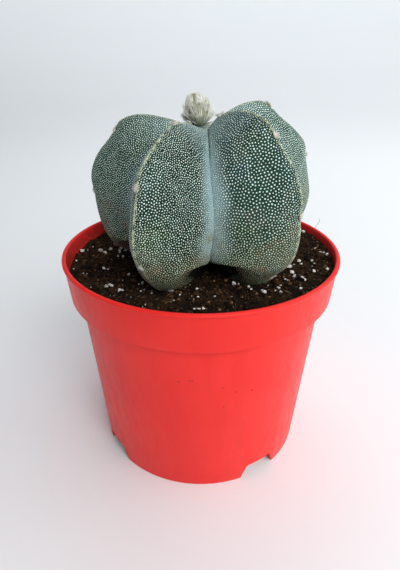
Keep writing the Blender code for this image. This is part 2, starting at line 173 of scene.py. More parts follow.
soft_light("window", (0.66, -0.42, 0.56), (0.0, 0.0, 0.08), 0.5, 2.4, (1.0, 0.99, 0.975))
soft_light("front_box", (0.30, -0.75, 0.75), (0.0, 0.0, 0.08), 0.5, 6.8, (1.0, 1.0, 1.0))
soft_light("low_window", (0.80, 0.06, 0.26), (0.0, 0.0, 0.08), 0.4, 2.0, (1.0, 0.995, 0.985))
soft_light("top_box", (0.05, 0.15, 1.20), (0.05, 0.15, 0.0), 1.2, 1.2, (0.97, 0.985, 1.0))
soft_light("wall_box", (0.0, 0.6, 1.2), (0.0, 1.5, 0.1), 0.8, 7.2, (0.96, 0.98, 1.0))
soft_light("wall_right_box", (0.7, 0.5, 0.9), (0.5, 1.3, 0.1), 0.6, 3.9, (0.98, 0.99, 1.0))

camera = bpy.data.objects.new("camera", bpy.data.cameras.new("camera"))
camera.location = (0.0, -0.19522, 0.17811)
camera.rotation_euler = (math.radians(62.40), math.radians(-0.05), math.radians(0.14))
camera.data.sensor_width = 36.0
camera.data.lens = 30.05
camera.data.clip_start = 0.005
camera.data.clip_end = 10.0
bpy.context.scene.collection.objects.link(camera)
bpy.context.scene.camera = camera
bpy.context.scene.view_settings.view_transform = "Standard"


# The pot: thin red polypropylene, injection moulded in one piece, with a beaded lip over a deep
# collar, a tapered body, a foot ring with four notches and a raised base plate with drainage holes.
POT_HEIGHT = 96.0 * MM
RIM_RADIUS = 60.0 * MM
WALL = 1.3 * MM
EDGE = 0.4 * MM
LIP_HEIGHT = 1.6 * MM
LIP_GROOVE = 0.7 * MM
COLLAR_BOTTOM = 79.0 * MM
COLLAR_BOTTOM_RADIUS = 57.9 * MM
BODY_TOP_RADIUS = 54.0 * MM
FOOT_RADIUS = 47.5 * MM
PLATE_UNDERSIDE = 7.8 * MM
PLATE_THICKNESS = 1.4 * MM
PLATE_TOP = PLATE_UNDERSIDE + PLATE_THICKNESS
LEDGE = COLLAR_BOTTOM + WALL
NOTCH_COUNT = 4
FIRST_NOTCH = math.radians(33.8)
NOTCH_HEIGHT = 7.2 * MM
NOTCH_FOOT_ANGLE = math.radians(22.4)
NOTCH_TOP_ANGLE = math.radians(16.0)
NOTCH_REACH = 6.0 * MM
NOTCH_BELOW = 2.0 * MM
DRAIN_RADIUS = 4.0 * MM
DRAIN_CIRCLE = 30.0 * MM
POT_SEGMENTS = 180
ROUNDING = 0.3 * MM


def outward(azimuth):
    """The level direction at an azimuth from the front, positive towards +X."""
    return Vector((math.sin(azimuth), -math.cos(azimuth), 0.0))


def body_radius(height):
    return FOOT_RADIUS + (BODY_TOP_RADIUS - FOOT_RADIUS) * height / COLLAR_BOTTOM


def collar_radius(height):
    groove_height = POT_HEIGHT - LIP_HEIGHT
    groove_radius = RIM_RADIUS - LIP_GROOVE
    share = (height - COLLAR_BOTTOM) / (groove_height - COLLAR_BOTTOM)
    return COLLAR_BOTTOM_RADIUS + (groove_radius - COLLAR_BOTTOM_RADIUS) * share


def pot_outline():
    """Down the outside, in under the foot, across the raised base plate and up the inside."""
    lip_bottom = POT_HEIGHT - LIP_HEIGHT
    outside = [
        (RIM_RADIUS - 0.9 * MM, POT_HEIGHT),
        (RIM_RADIUS, POT_HEIGHT - 0.5 * MM),
        (RIM_RADIUS, lip_bottom + 0.3 * MM),
        (collar_radius(lip_bottom), lip_bottom - 0.2 * MM),
        (COLLAR_BOTTOM_RADIUS, COLLAR_BOTTOM),
        (BODY_TOP_RADIUS, COLLAR_BOTTOM),
        (FOOT_RADIUS, 0.0)]
    inside = [
        (FOOT_RADIUS - WALL, 0.0),
        (body_radius(PLATE_UNDERSIDE) - WALL, PLATE_UNDERSIDE),
        (0.0, PLATE_UNDERSIDE),
        (0.0, PLATE_TOP),
        (body_radius(PLATE_TOP) - WALL, PLATE_TOP),
        (body_radius(LEDGE) - WALL, LEDGE),
        (collar_radius(LEDGE) - WALL, LEDGE),
        (collar_radius(lip_bottom) - WALL, lip_bottom),
        (RIM_RADIUS - WALL - 0.5 * MM, POT_HEIGHT - 0.2 * MM)]
    return outside + inside + outside[:1]


def notch_cutter(azimuth):
    """A wedge through the foot ring, narrower at its top, that stops under the base plate."""
    bm = bmesh.new()
    bmesh.ops.create_cube(bm, size=2.0)
    for v in bm.verts:
        height = -NOTCH_BELOW if v.co.z < 0.0 else NOTCH_HEIGHT
        width = NOTCH_FOOT_ANGLE + (NOTCH_TOP_ANGLE - NOTCH_FOOT_ANGLE) * height / NOTCH_HEIGHT
        radius = FOOT_RADIUS + math.copysign(NOTCH_REACH, v.co.x)
        v.co = (radius, math.copysign(radius * math.tan(0.5 * width), v.co.y), height)
    tops = [e for e in bm.edges if e.verts[0].co.z > 0.0 and e.verts[1].co.z > 0.0
            and abs(e.verts[0].co.x - e.verts[1].co.x) > NOTCH_REACH]
    bmesh.ops.bevel(bm, geom=tops, offset=1.2 * MM, segments=4, profile=0.5, affect="EDGES", material=-1)
    bmesh.ops.rotate(bm, matrix=Matrix.Rotation(azimuth - 0.5 * math.pi, 3, "Z"), verts=bm.verts)
    return bm


def drain_cutter(place):
    bm = bmesh.new()
    bmesh.ops.create_cone(bm, cap_ends=True, segments=32, radius1=DRAIN_RADIUS,
                          radius2=DRAIN_RADIUS, depth=3.0 * PLATE_THICKNESS)
    middle = Vector((0.0, 0.0, 0.5 * (PLATE_UNDERSIDE + PLATE_TOP)))
    bmesh.ops.translate(bm, vec=place + middle, verts=bm.verts)
    return bm


def applied(piece):
    """Replaces a piece's mesh by what its modifiers make of it."""
    graph = bpy.context.evaluated_depsgraph_get()
    result = bpy.data.meshes.new_from_object(piece.evaluated_get(graph))
    piece.modifiers.clear()
    piece.data = result


def red_plastic():
    """Satin, with moulding grain, faint flow marks and a film of peat dust inside the collar."""
    mat, shader = new_material("red_plastic", 0.4)
    flow = clouds(mat, 9.0 * MM, 2.0, 0.6, own_place(mat, (1.0, 1.0, 0.18)))
    broad = clouds(mat, 38.0 * MM, 2.0)
    red = mixed(mat, between(mat, broad, 0.35, 0.7), (0.84, 0.026, 0.021), (0.90, 0.032, 0.026))
    red = mixed(mat, between(mat, flow, 0.45, 0.75, 0.0, 0.35), red, (0.76, 0.020, 0.016))
    level = add_node(mat, "ShaderNodeVectorMath", {0: own_place(mat, (1.0, 1.0, 0.0))}, "Value",
                     operation="LENGTH")
    height = add_node(mat, "ShaderNodeSeparateXYZ", {"Vector": own_place(mat)}, "Z")
    taper = (RIM_RADIUS - LIP_GROOVE - COLLAR_BOTTOM_RADIUS) / (POT_HEIGHT - LIP_HEIGHT - COLLAR_BOTTOM)
    straightened = worked(mat, "SUBTRACT", level, worked(mat, "MULTIPLY", height, taper))
    outer_face = COLLAR_BOTTOM_RADIUS - taper * COLLAR_BOTTOM
    inside = between(mat, straightened, outer_face - 0.5 * WALL, outer_face - 0.7 * WALL)
    dust = between(mat, clouds(mat, 2.2 * MM, 5.0, 0.7), 0.42, 0.68, 0.0, 0.75)
    near_mix = worked(mat, "MULTIPLY", between(mat, height, POT_HEIGHT - 0.6 * MM, POT_HEIGHT - 3.0 * MM),
                      between(mat, height, LEDGE + 1.0 * MM, LEDGE + 4.0 * MM))
    film = worked(mat, "MULTIPLY", inside, worked(mat, "MULTIPLY", dust, near_mix))
    red = mixed(mat, film, red, (0.085, 0.042, 0.022))
    mat.node_tree.links.new(red, shader.inputs["Base Color"])
    scuffs = clouds(mat, 3.0 * MM, 6.0, 0.7, own_place(mat, (1.0, 1.0, 0.35)))
    mat.node_tree.links.new(between(mat, scuffs, 0.3, 0.75, 0.34, 0.5), shader.inputs["Roughness"])
    grain = clouds(mat, 0.5 * MM, 3.0, 0.6)
    relief = worked(mat, "ADD", grain, worked(mat, "MULTIPLY", flow, 2.0))
    bumped(mat, shader, relief, 0.02 * MM)
    shader.inputs["Specular IOR Level"].default_value = 0.2
    return mat


plastic = red_plastic()
shell = turned(pot_outline(), POT_SEGMENTS)
corners = [e for e in shell.edges if len(e.link_faces) == 2 and e.calc_face_angle() > math.radians(12.0)
           and abs(e.verts[0].co.z - e.verts[1].co.z) < 0.01 * MM and e.verts[0].co.length > 10.0 * MM]
bmesh.ops.bevel(shell, geom=corners, offset=ROUNDING, segments=3, profile=0.5, affect="EDGES", material=-1)
pot = finished("nursery_pot", shell, plastic)
cutters = bpy.data.collections.new("cutters")
bpy.context.scene.collection.children.link(cutters)
holes = [notch_cutter(FIRST_NOTCH + i * math.tau / NOTCH_COUNT) for i in range(NOTCH_COUNT)]
holes += [drain_cutter(DRAIN_CIRCLE * outward(FIRST_NOTCH + i * math.tau / NOTCH_COUNT))
          for i in range(NOTCH_COUNT)]
holes.append(drain_cutter(Vector()))
for hole in holes:
    cutter = finished("cutter", hole, plastic)
    bpy.context.scene.collection.objects.unlink(cutter)
    cutters.objects.link(cutter)
cut = pot.modifiers.new("cut", "BOOLEAN")
cut.operation = "DIFFERENCE"
cut.solver = "EXACT"
cut.operand_type = "COLLECTION"
cut.collection = cutters
applied(pot)
pot.data.set_sharp_from_angle(angle=math.radians(35.0))
for cutter in list(cutters.objects):
    bpy.data.objects.remove(cutter, do_unlink=True)
bpy.data.collections.remove(cutters)
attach(pot, "root")
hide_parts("pot")


# The plant: one grown body of five deep ribs about a low crown, thick-skinned and without spines.
# Its foot narrows between the ribs and stands in the mix.
PLANT_AXIS = Vector((2.4 * MM, -4.0 * MM, 0.0))
RIB_AZIMUTHS = [math.radians(a) for a in (-102.0, -30.0, 42.0, 113.0, 186.0)]
# Each ridge runs through the crown, its own shoulder, the lower flank that all five share and the
# root: (radius, height) points about the plant's axis, in millimetres
CROWN = [(0, 146)]
SHOULDERS = [
    [(7, 147), (15, 149.6), (26, 151), (35, 148), (41.4, 141), (46.8, 133), (50, 120)],
    [(6.5, 147.8), (14.5, 150.6), (25, 151.4), (33.5, 147.4), (41, 141.6), (47.2, 134), (49.6, 120)],
    [(5, 151), (13, 154), (21, 154.8), (30, 152), (38.4, 144.4), (44.2, 135.6), (48.4, 120)],
    [(6, 151), (15, 155.2), (25, 155), (32.6, 149.2), (40.4, 142.2), (46.4, 134.4), (49.4, 120)],
    [(7, 145.6), (15, 146.8), (25, 145.6), (33, 142.2), (40, 136.6), (46, 129.4), (49.4, 119)]]
LOWER_FLANK = [(48.6, 109), (43.8, 100), (36, 92.6)]
ROOT = [(25, 87.5), (13, 83), (9.5, 76), (6, 69.5), (0, 68)]
# How much further in each rib is tucked than the lower flank says, at its three points
FOOT_TUCK = [(0.0, 0.0, 0.0), (0.2, 0.4, 0.4), (2.2, 3.4, 1.4), (0.0, 0.0, 0.0), (0.0, 0.0, 0.0)]
# The valley between two ribs, point by point beside the ridge
VALLEY = [
    (0, 146), (5.5, 145.6), (12, 143), (19, 138.2), (24.5, 131.4), (27.6, 123.4), (28.8, 115.5),
    (28.8, 109), (28.2, 104.6), (25, 101.2), (18.6, 99.6), (13.2, 95.6), (11.2, 87), (9.3, 77.5),
    (6, 70.5), (0, 68)]
LAST_POINT = len(VALLEY) - 1
GROUND_POINT = 11
# How far a valley rises with the ridges beside it
VALLEY_FOLLOWS = 0.6
# The valley at the front leans to the left of the middle between its ribs, least halfway down
FRONT_RIBS = (1, 2)
FRONT_LEAN = math.radians(4.0)
FRONT_STRAIGHTENING = math.radians(2.8)
FRONT_STRAIGHTEST = 5.7
# A flank is nearly flat and swells a little between its ridge and its valley, more at the foot.
# Beside the ridge's own foot its underside arches up to the valley.
FLANK_BULGE = 2.4 * MM
FOOT_BULGE = 4.2 * MM
FULL_FLANK = 26.0 * MM
FOOT_ARCH = 4.0 * MM
# Areoles: distances along each ridge from the crown, and the swelling of the ridge between them
AREOLE_PITCH = 29.4 * MM
FIRST_AREOLE = [40.5 * MM, 24.5 * MM, 9.5 * MM, 30.0 * MM, 24.0 * MM]
AREOLE_COUNT = [2, 3, 4, 3, 3]
SCALLOP = 1.1 * MM
LENGTH_STEPS = 400
# The fine skin: mesh columns from a ridge to its valley, close together at both, and mesh rings
FLANK_STEPS = (0.0, 0.008, 0.02, 0.036, 0.058, 0.09, 0.13, 0.18, 0.24, 0.31, 0.38, 0.45, 0.52, 0.59,
               0.66, 0.73, 0.79, 0.845, 0.89, 0.925, 0.953, 0.974, 0.989)
RINGS = 120
# A thin raised line along each ridge, a groove along each valley, and low ripples across a flank
RIDGE_LINE = 0.16 * MM
RIDGE_LINE_WIDTH = 0.42 * MM
VALLEY_GROOVE = 1.0 * MM
VALLEY_GROOVE_WIDTH = 0.55 * MM
RIPPLE = 0.22 * MM
RIPPLE_SPAN = 9.0 * MM


def ease(x):
    x = min(1.0, max(0.0, x))
    return x * x * (3.0 - 2.0 * x)


def smooth_curve(points, position):
    """A Catmull-Rom curve through (radius, height) points, read at a position counted in points."""
    last = len(points) - 1
    i = min(int(position), last - 1)
    t = position - i
    p1, p2 = Vector(points[i]), Vector(points[i + 1])
    p0 = Vector(points[i - 1]) if i > 0 else 2.0 * p1 - p2
    p3 = Vector(points[i + 2]) if i + 2 <= last else 2.0 * p2 - p1
    slope = p2 - p0
    curve = 2.0 * p0 - 5.0 * p1 + 4.0 * p2 - p3
    twist = 3.0 * p1 - p0 - 3.0 * p2 + p3
    return p1 + 0.5 * (slope * t + curve * t * t + twist * t * t * t)


def whole_ridge(rib):
    lower = [(r - tuck, z) for (r, z), tuck in zip(LOWER_FLANK, FOOT_TUCK[rib])]
    return CROWN + SHOULDERS[rib] + lower + ROOT


RIDGES = [whole_ridge(rib) for rib in range(len(RIB_AZIMUTHS))]
MEAN_RIDGE = [tuple(sum(values) / len(RIDGES) for values in zip(*points)) for points in zip(*RIDGES)]


def ridge_point(rib, position):
    """A rib's ridge, before its scallops, at a position counted in points from the crown."""
    return MM * smooth_curve(RIDGES[rib], position)


def ridge_lengths(rib):
    """Distance along a ridge from the crown, for even steps of position."""
    lengths, travelled, before = [0.0], 0.0, ridge_point(rib, 0.0)
    for i in range(1, LENGTH_STEPS + 1):
        here = ridge_point(rib, LAST_POINT * i / LENGTH_STEPS)
        travelled += (here - before).length
        lengths.append(travelled)
        before = here
    return lengths


RIDGE_LENGTHS = [ridge_lengths(rib) for rib in range(len(RIB_AZIMUTHS))]


def length_at(rib, position):
    table = RIDGE_LENGTHS[rib]
    at = position / LAST_POINT * LENGTH_STEPS
    i = min(int(at), LENGTH_STEPS - 1)
    return table[i] + (table[i + 1] - table[i]) * (at - i)


def position_at(rib, length):
    table = RIDGE_LENGTHS[rib]
    i = next(k for k, travelled in enumerate(table) if travelled >= length)
    share = (length - table[i - 1]) / (table[i] - table[i - 1])
    return (i - 1 + share) / LENGTH_STEPS * LAST_POINT


def scallop(rib, position):
    """The ridge swells towards each areole and steps in just below it."""
    phase = (length_at(rib, position) - FIRST_AREOLE[rib]) / AREOLE_PITCH
    phase -= math.floor(phase)
    above_ground = ease(position / 2.0) * ease(GROUND_POINT - position)
    return SCALLOP * (1.7 * math.sin(math.pi * phase * phase) - 0.6) * above_ground


def rib_valley(rib, side, position):
    """The valley on one side of a rib: its azimuth, and its point at a position from the crown."""
    neighbour = (rib + side) % len(RIB_AZIMUTHS)
    turn = math.remainder(RIB_AZIMUTHS[neighbour] - RIB_AZIMUTHS[rib], math.tau)
    point = MM * smooth_curve(VALLEY, position)
    beside = 0.5 * (ridge_point(rib, position).y + ridge_point(neighbour, position).y)
    point.y += VALLEY_FOLLOWS * (beside - MM * smooth_curve(MEAN_RIDGE, position).y)
    lean = 0.0
    if rib in FRONT_RIBS and neighbour in FRONT_RIBS:
        off_middle = (position - FRONT_STRAIGHTEST) / 1.5
        lean = FRONT_LEAN - FRONT_STRAIGHTENING * math.exp(-off_middle * off_middle)
    return RIB_AZIMUTHS[rib] + 0.5 * turn - lean, point


def flank(rib, side, position):
    """One cut across a flank: its ridge point, the chord to the valley and the way inwards."""
    ridge = ridge_point(rib, position)
    azimuth, valley = rib_valley(rib, side, position)
    radius = max(0.0, ridge.x + scallop(rib, position))
    top = radius * outward(RIB_AZIMUTHS[rib]) + Vector((0.0, 0.0, ridge.y))
    chord = max(0.0, valley.x) * outward(azimuth) + Vector((0.0, 0.0, valley.y)) - top
    return top, chord, (side * Vector((0.0, 0.0, 1.0)).cross(chord)).normalized()


def cactus_point(rib, side, across, position):
    """A point of the plant's skin, from a rib's ridge (across 0) to the valley beside it (1)."""
    top, chord, inward = flank(rib, side, position)
    foot = ease((position - 7.6) / 2.2) * ease((12.6 - position) / 1.6)
    depth = (FLANK_BULGE + FOOT_BULGE * foot) * min(1.0, chord.length / FULL_FLANK)
    bulge = depth * max(0.0, math.sin(math.pi * across)) ** 0.7
    under = ease((position - 8.3) / 1.5) * ease((13.0 - position) / 1.5)
    beside_foot = ease((across - 0.15) / 0.4) * (1.0 - 0.75 * ease((across - 0.7) / 0.3))
    lift = Vector((0.0, 0.0, FOOT_ARCH * under * beside_foot))
    return PLANT_AXIS + top + across * chord - bulge * inward + lift


def crease_depth(position):
    """A valley is creased sharply by the crown and above the foot, and hardly at all between them."""
    return 1.0 - 0.85 * ease((position - 2.2) / 1.6) * ease((9.4 - position) / 1.2)


def skin_point(rib, side, across, position):
    """The same point with the ridge line, the valley groove and the ripples on it."""
    place = cactus_point(rib, side, across, position)
    top, chord, inward = flank(rib, side, position)
    from_ridge, from_valley = across * chord.length, (1.0 - across) * chord.length
    open_skin = ease(position / 1.5) * ease(GROUND_POINT + 1.0 - position)
    line = RIDGE_LINE * math.exp(-(from_ridge / RIDGE_LINE_WIDTH) ** 2) * open_skin
    groove = (VALLEY_GROOVE * crease_depth(position) * open_skin
              * math.exp(-(from_valley / VALLEY_GROOVE_WIDTH) ** 2))
    ripple = RIPPLE * noise.noise(place / RIPPLE_SPAN) * math.sin(math.pi * across) * open_skin
    radial = Vector((place.x - PLANT_AXIS.x, place.y - PLANT_AXIS.y, 0.0))
    radial = radial.normalized() if radial.length > 0.5 * MM else Vector()
    return place + (line - groove) * radial - ripple * inward


def skin_columns():
    """The mesh's columns, rib after rib: the valley before it, its flank, its ridge and its next flank."""
    columns = []
    for rib in range(len(RIB_AZIMUTHS)):
        columns += [(rib, -1, step) for step in (1.0, *reversed(FLANK_STEPS[1:]))]
        columns += [(rib, 1, step) for step in FLANK_STEPS]
    return columns


# Painted light and shade on each flank, by rib, on its left and its right as seen from outside: how light its skin
# and its flecks are painted for the way the light falls on it
FLANK_PAINTED_LIGHT = [(0.6, 1.05), (0.7, 0.42), (0.8, 0.6), (1.1, 0.7), (0.6, 0.6)]
# How far apart its flecks are in its upper part
FLANK_SPREAD = [(1.0, 1.08), (1.0, 0.96), (1.22, 1.0), (1.05, 1.0), (1.0, 1.0)]


def flecked_skin():
    """Deep green, lighter or darker by flank in painted light and shade, blue-grey with bloom in the valleys and at
    the crown, with a thin beaded corky line along each ridge, a painted shade along each valley's crease, olive and
    brown at the foot, and under the foot its own brown going over into a near-black painted shade."""
    mat, shader = new_material("flecked_skin", 0.72)
    across, width, crease_shade, descent, under, tone = (
        add_node(mat, "ShaderNodeAttribute", {}, "Fac", attribute_name=label)
        for label in ("across", "from_ridge", "crease_shade", "descent", "under", "tone"))
    patches = clouds(mat, 11.0 * MM, 3.0, 0.6)
    fine = clouds(mat, 1.6 * MM, 4.0, 0.6)
    shift = worked(mat, "SUBTRACT", patches, 0.5)
    # Painted light and shade: each flank's skin painted lighter or darker by its tone, shaken by the patches
    painted_light_and_patches = worked(mat, "ADD", tone, worked(mat, "MULTIPLY", shift, 1.6))
    green = mixed(mat, between(mat, painted_light_and_patches, 0.1, 1.1), (0.003, 0.014, 0.007), (0.020, 0.060, 0.042))
    green = mixed(mat, between(mat, fine, 0.45, 0.8, 0.0, 0.5), green, (0.014, 0.045, 0.018))
    blue = clouds(mat, 15.0 * MM, 2.0, 0.5, own_place(mat, (1.0, 1.0, 0.7)))
    green = mixed(mat, between(mat, blue, 0.52, 0.68, 0.0, 0.55), green, (0.020, 0.060, 0.072))
    lime = clouds(mat, 18.0 * MM, 2.0, 0.5, own_place(mat, (0.9, 1.1, 1.0)))
    green = mixed(mat, between(mat, lime, 0.52, 0.68, 0.0, 0.45), green, (0.030, 0.062, 0.018))
    shaken = worked(mat, "ADD", across, worked(mat, "MULTIPLY", shift, 0.2))
    bloom = worked(mat, "MAXIMUM", between(mat, shaken, 0.70, 1.0, 0.0, 0.9),
                   between(mat, descent, 0.34, 0.06, 0.0, 0.6))
    bloom = worked(mat, "MULTIPLY", bloom, between(mat, descent, 0.98, 0.6, 0.4, 1.0))
    skin = mixed(mat, bloom, green, (0.25, 0.375, 0.40))
    # Painted shade: the skin darkened along the bottom of each valley's crease, where shade falls
    skin = mixed(mat, between(mat, crease_shade, 0.25, 0.8, 0.0, 0.85), skin, (0.012, 0.022, 0.018))
    worn = worked(mat, "ADD", descent, worked(mat, "MULTIPLY", shift, 0.7))
    skin = mixed(mat, between(mat, worn, 0.55, 0.95, 0.0, 0.8), skin, (0.072, 0.080, 0.030))
    rust = between(mat, clouds(mat, 6.0 * MM, 3.0, 0.6), 0.5, 0.66, 0.0, 0.75)
    rust = worked(mat, "MULTIPLY", rust, between(mat, worn, 0.5, 0.85))
    skin = mixed(mat, rust, skin, (0.125, 0.088, 0.052))
    cork = worked(mat, "ADD", width, worked(mat, "MULTIPLY", worked(mat, "SUBTRACT", fine, 0.5), 3.2))
    beads = between(mat, clouds(mat, 1.1 * MM, 3.0, 0.6), 0.4, 0.6, 0.15, 0.9)
    cork = worked(mat, "MULTIPLY", beads, between(mat, cork, 0.8, 0.1))
    skin = mixed(mat, cork, skin, (0.42, 0.45, 0.26))
    # Under the foot the skin turns brown, partly its own colour and partly painted shade, and then near black, a
    # painted shadow under the overhanging flank
    skin = mixed(mat, between(mat, under, 0.05, 0.4, 0.0, 0.8), skin, (0.060, 0.036, 0.018))
    skin = mixed(mat, between(mat, under, 0.4, 0.9), skin, (0.010, 0.011, 0.006))
    mat.node_tree.links.new(skin, shader.inputs["Base Color"])
    bumped(mat, shader, fine, 0.08 * MM)
    shader.inputs["Specular IOR Level"].default_value = 0.12
    return mat


columns = skin_columns()
body = bmesh.new()
bmesh.ops.create_uvsphere(body, u_segments=len(columns), v_segments=RINGS, radius=1.0)
across_layer = body.verts.layers.float.new("across")
ridge_layer = body.verts.layers.float.new("from_ridge")
crease_shade_layer = body.verts.layers.float.new("crease_shade")
descent_layer = body.verts.layers.float.new("descent")
underside_shade_layer = body.verts.layers.float.new("under")
tone_layer = body.verts.layers.float.new("tone")
spread_layer = body.verts.layers.float.new("spread")
for v in body.verts:
    ring = round(math.acos(max(-1.0, min(1.0, v.co.z))) / math.pi * RINGS)
    rib, side, across = columns[round(math.atan2(v.co.y, v.co.x) / math.tau * len(columns)) % len(columns)]
    position = LAST_POINT * ring / RINGS
    v.co = skin_point(rib, side, across, position)
    v[across_layer] = across
    flank_width = flank(rib, side, position)[1].length / MM
    v[ridge_layer] = across * flank_width
    # How near the valley's crease the skin is, for the painted shade there
    v[crease_shade_layer] = crease_depth(position) * math.exp(-((1.0 - across) * flank_width / 0.5) ** 2)
    v[descent_layer] = position / GROUND_POINT
    # Painted shadow on the underside of the foot, for the skin and its flecks
    v[underside_shade_layer] = ease((position - 8.8) / 1.5) * ease((across - 0.12) / 0.35)
    # Painted light and shade by flank, read by the skin and its flecks
    v[tone_layer] = FLANK_PAINTED_LIGHT[rib][(side + 1) // 2]
    v[spread_layer] = FLANK_SPREAD[rib][(side + 1) // 2]
bmesh.ops.recalc_face_normals(body, faces=body.faces)
skin_mat = flecked_skin()
skin_tree = BVHTree.FromBMesh(body)
skin_faces = [(face.calc_area(), [v.co.copy() for v in face.verts],
               [(v[across_layer], v[ridge_layer], v[descent_layer], v[underside_shade_layer], v[tone_layer],
                 v[spread_layer]) for v in face.verts])
              for face in body.faces if len(face.verts) == 4 and face.calc_center_median().z > 91.0 * MM]
cactus = finished("cactus_body", body, skin_mat, 60.0)
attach(cactus, "root")
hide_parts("cactus")


# The flecks: tufts of short white hairs, flat on the skin and about half a millimetre wide. They
# stand evenly apart, closer, smaller and drawn out into short strokes towards the valleys, the ridges
# and the foot.
FLECK_SEED = 7
FLECK_SPACING = (0.56 * MM, 0.90 * MM)
FLECK_RADIUS = (0.21 * MM, 0.32 * MM)
FLECK_RISE = 0.12 * MM
FLECK_DARTS = 420000
FLECK_SWEEPS = 12
FLECK_SIDES = 6


def turned_to(direction, beside=Vector((0.0, 0.0, 1.0))):
    """A turn that takes +Z to a direction, and +X as near as can be to beside."""
    z = direction.normalized()
    x = beside - beside.dot(z) * z
    x = x.normalized() if x.length > 1e-6 else z.orthogonal().normalized()
    return Matrix((x, z.cross(x), z)).transposed()


def scatter(name, seats, patterns, mat, smooth=True):
    """Real copies of small patterns in one mesh, taken in turn. A seat is a place, a turn, a size and a
    tone, which the copy's material can read."""
    points = bpy.data.meshes.new(name)
    points.from_pydata([seat[0] for seat in seats], [], [])
    for label, column, kind, values in (
            ("turn", 1, "FLOAT_VECTOR", [c for seat in seats for c in seat[1].to_euler()]),
            ("size", 2, "FLOAT_VECTOR", [c for seat in seats for c in seat[2]]),
            ("tone", 3, "FLOAT", [seat[3] for seat in seats]),
            ("kind", None, "INT", [i % len(patterns) for i in range(len(seats))])):
        layer = points.attributes.new(label, kind, "POINT")
        layer.data.foreach_set("vector" if kind == "FLOAT_VECTOR" else "value", values)
    piece = bpy.data.objects.new(name, points)
    bpy.context.scene.collection.objects.link(piece)

    kinds = bpy.data.collections.new(name + "_patterns")
    bpy.context.scene.collection.children.link(kinds)
    for i, pattern in enumerate(patterns):
        mesh = bpy.data.meshes.new(f"pattern_{i:02d}")
        pattern.to_mesh(mesh)
        mesh.materials.append(mat)
        if smooth:
            mesh.shade_smooth()
        kinds.objects.link(bpy.data.objects.new(f"pattern_{i:02d}", mesh))

    group = bpy.data.node_groups.new(name, "GeometryNodeTree")
    group.interface.new_socket("Geometry", in_out="INPUT", socket_type="NodeSocketGeometry")
    group.interface.new_socket("Geometry", in_out="OUTPUT", socket_type="NodeSocketGeometry")
    seats_in = group.nodes.new("NodeGroupInput")
    copies_out = group.nodes.new("NodeGroupOutput")
    chosen = group.nodes.new("GeometryNodeCollectionInfo")
    chosen.inputs["Collection"].default_value = kinds
    chosen.inputs["Separate Children"].default_value = True
    chosen.inputs["Reset Children"].default_value = True
    placed = group.nodes.new("GeometryNodeInstanceOnPoints")
    placed.inputs["Pick Instance"].default_value = True
    real = group.nodes.new("GeometryNodeRealizeInstances")
    group.links.new(seats_in.outputs[0], placed.inputs["Points"])
    group.links.new(chosen.outputs[0], placed.inputs["Instance"])
    for label, kind, socket in (("turn", "FLOAT_VECTOR", "Rotation"), ("size", "FLOAT_VECTOR", "Scale"),
                                ("kind", "INT", "Instance Index")):
        read = group.nodes.new("GeometryNodeInputNamedAttribute")
        read.data_type = kind
        read.inputs["Name"].default_value = label
        group.links.new(read.outputs["Attribute"], placed.inputs[socket])
    group.links.new(placed.outputs[0], real.inputs[0])
    group.links.new(real.outputs[0], copies_out.inputs[0])
    piece.modifiers.new("copies", "NODES").node_group = group
    applied(piece)
    for label in ("turn", "size", "kind"):
        spare = piece.data.attributes.get(label)
        if spare:
            piece.data.attributes.remove(spare)
    for pattern in list(kinds.objects):
        bpy.data.objects.remove(pattern, do_unlink=True)
    bpy.data.collections.remove(kinds)
    bpy.data.node_groups.remove(group)
    return piece


def openness(across, from_ridge, descent):
    """1 in the middle of a flank, 0 along its ridge and its valley and at the crown."""
    return (ease((from_ridge + 0.4) / 3.4) * ease((1.02 - across) / 0.26) * ease((descent - 0.02) / 0.2)
            * (1.0 - 0.45 * ease((descent - 0.6) / 0.35)))


def fleck_darts(draw):
    """Places thrown at the skin at random, evenly by area; one that lands too near another is dropped."""
    near, far = FLECK_SPACING
    reach = 1.25 * far
    areas = [area for area, corners, values in skin_faces]
    grid, kept = {}, []
    for area, corners, values in draw.choices(skin_faces, weights=areas, k=FLECK_DARTS):
        u, w = draw.random(), draw.random()
        shares = ((1 - u) * (1 - w), u * (1 - w), u * w, (1 - u) * w)
        place = sum((share * corner for share, corner in zip(shares, corners)), Vector())
        across, from_ridge, descent, under, tone, upper_spread = (
            sum(share * value[k] for share, value in zip(shares, values)) for k in range(6))
        # Under the foot, in the painted shadow, flecks are thinned out
        if under > draw.uniform(0.3, 0.85):
            continue
        patch = 1.0 + (upper_spread - 1.0) * ease((0.72 - descent) / 0.25)
        patch += 0.25 * noise.noise(place / (14.0 * MM))
        spacing = near + (patch * far - near) * openness(across, from_ridge, descent)
        cell = tuple(int(c // reach) for c in place)
        clear = 0.80 * spacing
        crowded = any((place - other).length_squared < clear * clear
                      for dx in (-1, 0, 1) for dy in (-1, 0, 1) for dz in (-1, 0, 1)
                      for other in grid.get((cell[0] + dx, cell[1] + dy, cell[2] + dz), ()))
        if not crowded:
            grid.setdefault(cell, []).append(place)
            # A fleck's tone keeps its flank's painted light and shade, and is darkened under the foot as painted
            # shadow
            kept.append((place, spacing, descent, tone - 1.2 * under))
    return kept


def spread(darts, sweeps):
    """Neighbours push each other apart along the skin until they stand evenly."""
    places = [dart[0] for dart in darts]
    for sweep in range(sweeps):
        tree = kdtree.KDTree(len(places))
        for i, place in enumerate(places):
            tree.insert(place, i)
        tree.balance()
        moved = []
        for i, place in enumerate(places):
            reach = 1.12 * darts[i][1]
            push = Vector()
            for other, j, distance in tree.find_n(place, 7):
                if 0.0 < distance < reach:
                    push += (place - other) * (reach / distance - 1.0)
            moved.append(place + 0.28 * push)
        places = [skin_tree.find_nearest(place)[0] for place in moved]
    return places


